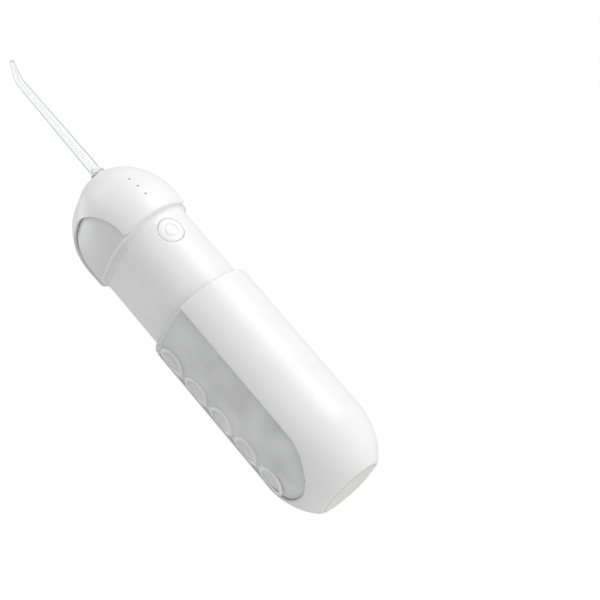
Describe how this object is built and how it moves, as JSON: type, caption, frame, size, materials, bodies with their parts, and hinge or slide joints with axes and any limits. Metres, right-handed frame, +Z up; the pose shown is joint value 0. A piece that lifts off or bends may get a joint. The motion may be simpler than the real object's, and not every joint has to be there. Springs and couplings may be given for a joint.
{
  "type": "water flosser",
  "caption": "Telescoping cordless water flosser with an oval capsule body, side windows onto a clear tank, push button and bent jet nozzle.",
  "frame": {"origin": "centre of the resting face of the base", "axes": "+Z up along the body towards the nozzle, -Y towards the front with the button and lights, +X and -X towards the side windows; the body is drawn pulled out"},
  "size_m": [0.0526, 0.065, 0.2758],
  "materials": {
    "white_shell": "satin",
    "clear_tank": "clear plastic",
    "clear_nozzle": "clear plastic",
    "light_panel": "satin",
    "white_inner": "matt",
    "grey_rubber": "soft",
    "clear_hose": "soft",
    "light_lens": "smooth",
    "frame_plastic": "matt",
    "cell_wrap": "shrink wrap",
    "plated_steel": "plated",
    "magnet": "dull",
    "winding": "lacquered copper",
    "black_plastic": "matt",
    "board": "solder mask",
    "brass": "machined",
    "gear_plastic": "moulded"
  },
  "bodies": {
    "tank_body": {"outer_shell": "white_shell", "water_tank": "clear_tank", "wiper_seal": "clear_hose", "base_pad": "white_inner"},
    "upper_body": {"middle_sleeve": "white_shell", "head_dome": "white_shell", "arch_panels": "light_panel", "head_gasket": "grey_rubber", "bottom_cap": "white_inner", "tank_seal": "grey_rubber", "intake_pipe": "white_inner", "intake_filter": "white_inner", "inlet_hose": "clear_hose", "inner_frame": "frame_plastic", "battery": "cell_wrap", "battery_tabs": "plated_steel", "circuit_board": "board", "power_switch": "black_plastic", "motor_can": "plated_steel", "motor_magnets": "magnet", "motor_end_cap": "black_plastic", "motor_screws": "plated_steel", "gear_axle": "plated_steel", "pump_cylinder": "frame_plastic", "pump_head": "frame_plastic", "inlet_valve": "grey_rubber", "valve_seat": "plated_steel", "outlet_valve": "grey_rubber", "pump_screws": "plated_steel", "outlet_hose": "clear_hose", "nozzle_socket": "white_inner", "socket_base": "white_inner", "light_guide": "light_lens", "indicator_board": "board", "charge_board": "board", "charge_port": "plated_steel"},
    "button": {"power_button": "white_shell"},
    "turret": {"nozzle_turret": "white_inner"},
    "nozzle": {"water_nozzle": "clear_nozzle", "nozzle_seal": "grey_rubber"},
    "rotor": {"motor_shaft": "plated_steel", "motor_armature": "winding", "motor_pinion": "brass"},
    "gear": {"drive_gear": "gear_plastic"},
    "piston": {"pump_rod": "gear_plastic", "piston_cup": "grey_rubber"},
    "cover": {"port_cover": "light_panel"}
  },
  "joints": [
    {"name": "body_telescope", "type": "slide", "parent": "tank_body", "child": "upper_body", "axis": [0, 0, -1], "range_m": [0, 0.0446]},
    {"name": "button_press", "type": "slide", "parent": "upper_body", "child": "button", "axis": [0, 1, 0], "range_m": [0, 0.0007], "stiffness_N_per_m": 600},
    {"name": "turret_turn", "type": "hinge", "parent": "upper_body", "child": "turret", "pos_m": [0, -0.0108, 0.19], "axis": [0, 0, 1], "continuous": true},
    {"name": "nozzle_pull", "type": "slide", "parent": "turret", "child": "nozzle", "axis": [0, 0, 1], "range_m": [0, 0.02]},
    {"name": "motor_spin", "type": "hinge", "parent": "upper_body", "child": "rotor", "pos_m": [0, -0.009, 0.13], "axis": [0, 0, 1], "continuous": true},
    {"name": "gear_spin", "type": "hinge", "parent": "upper_body", "child": "gear", "pos_m": [0, 0.006, 0.158], "axis": [0, 0, 1], "continuous": true},
    {"name": "pump_stroke", "type": "slide", "parent": "upper_body", "child": "piston", "axis": [1, 0, 0], "range_m": [-0.0015, 0.0015]},
    {"name": "cover_hinge", "type": "hinge", "parent": "upper_body", "child": "cover", "pos_m": [0, 0.0317, 0.1683], "axis": [-1, 0, 0], "range_deg": [0, 90]}
  ],
  "couplings": [
    {"joint": "gear_spin", "follows": "motor_spin", "ratio": -0.33333}
  ]
}
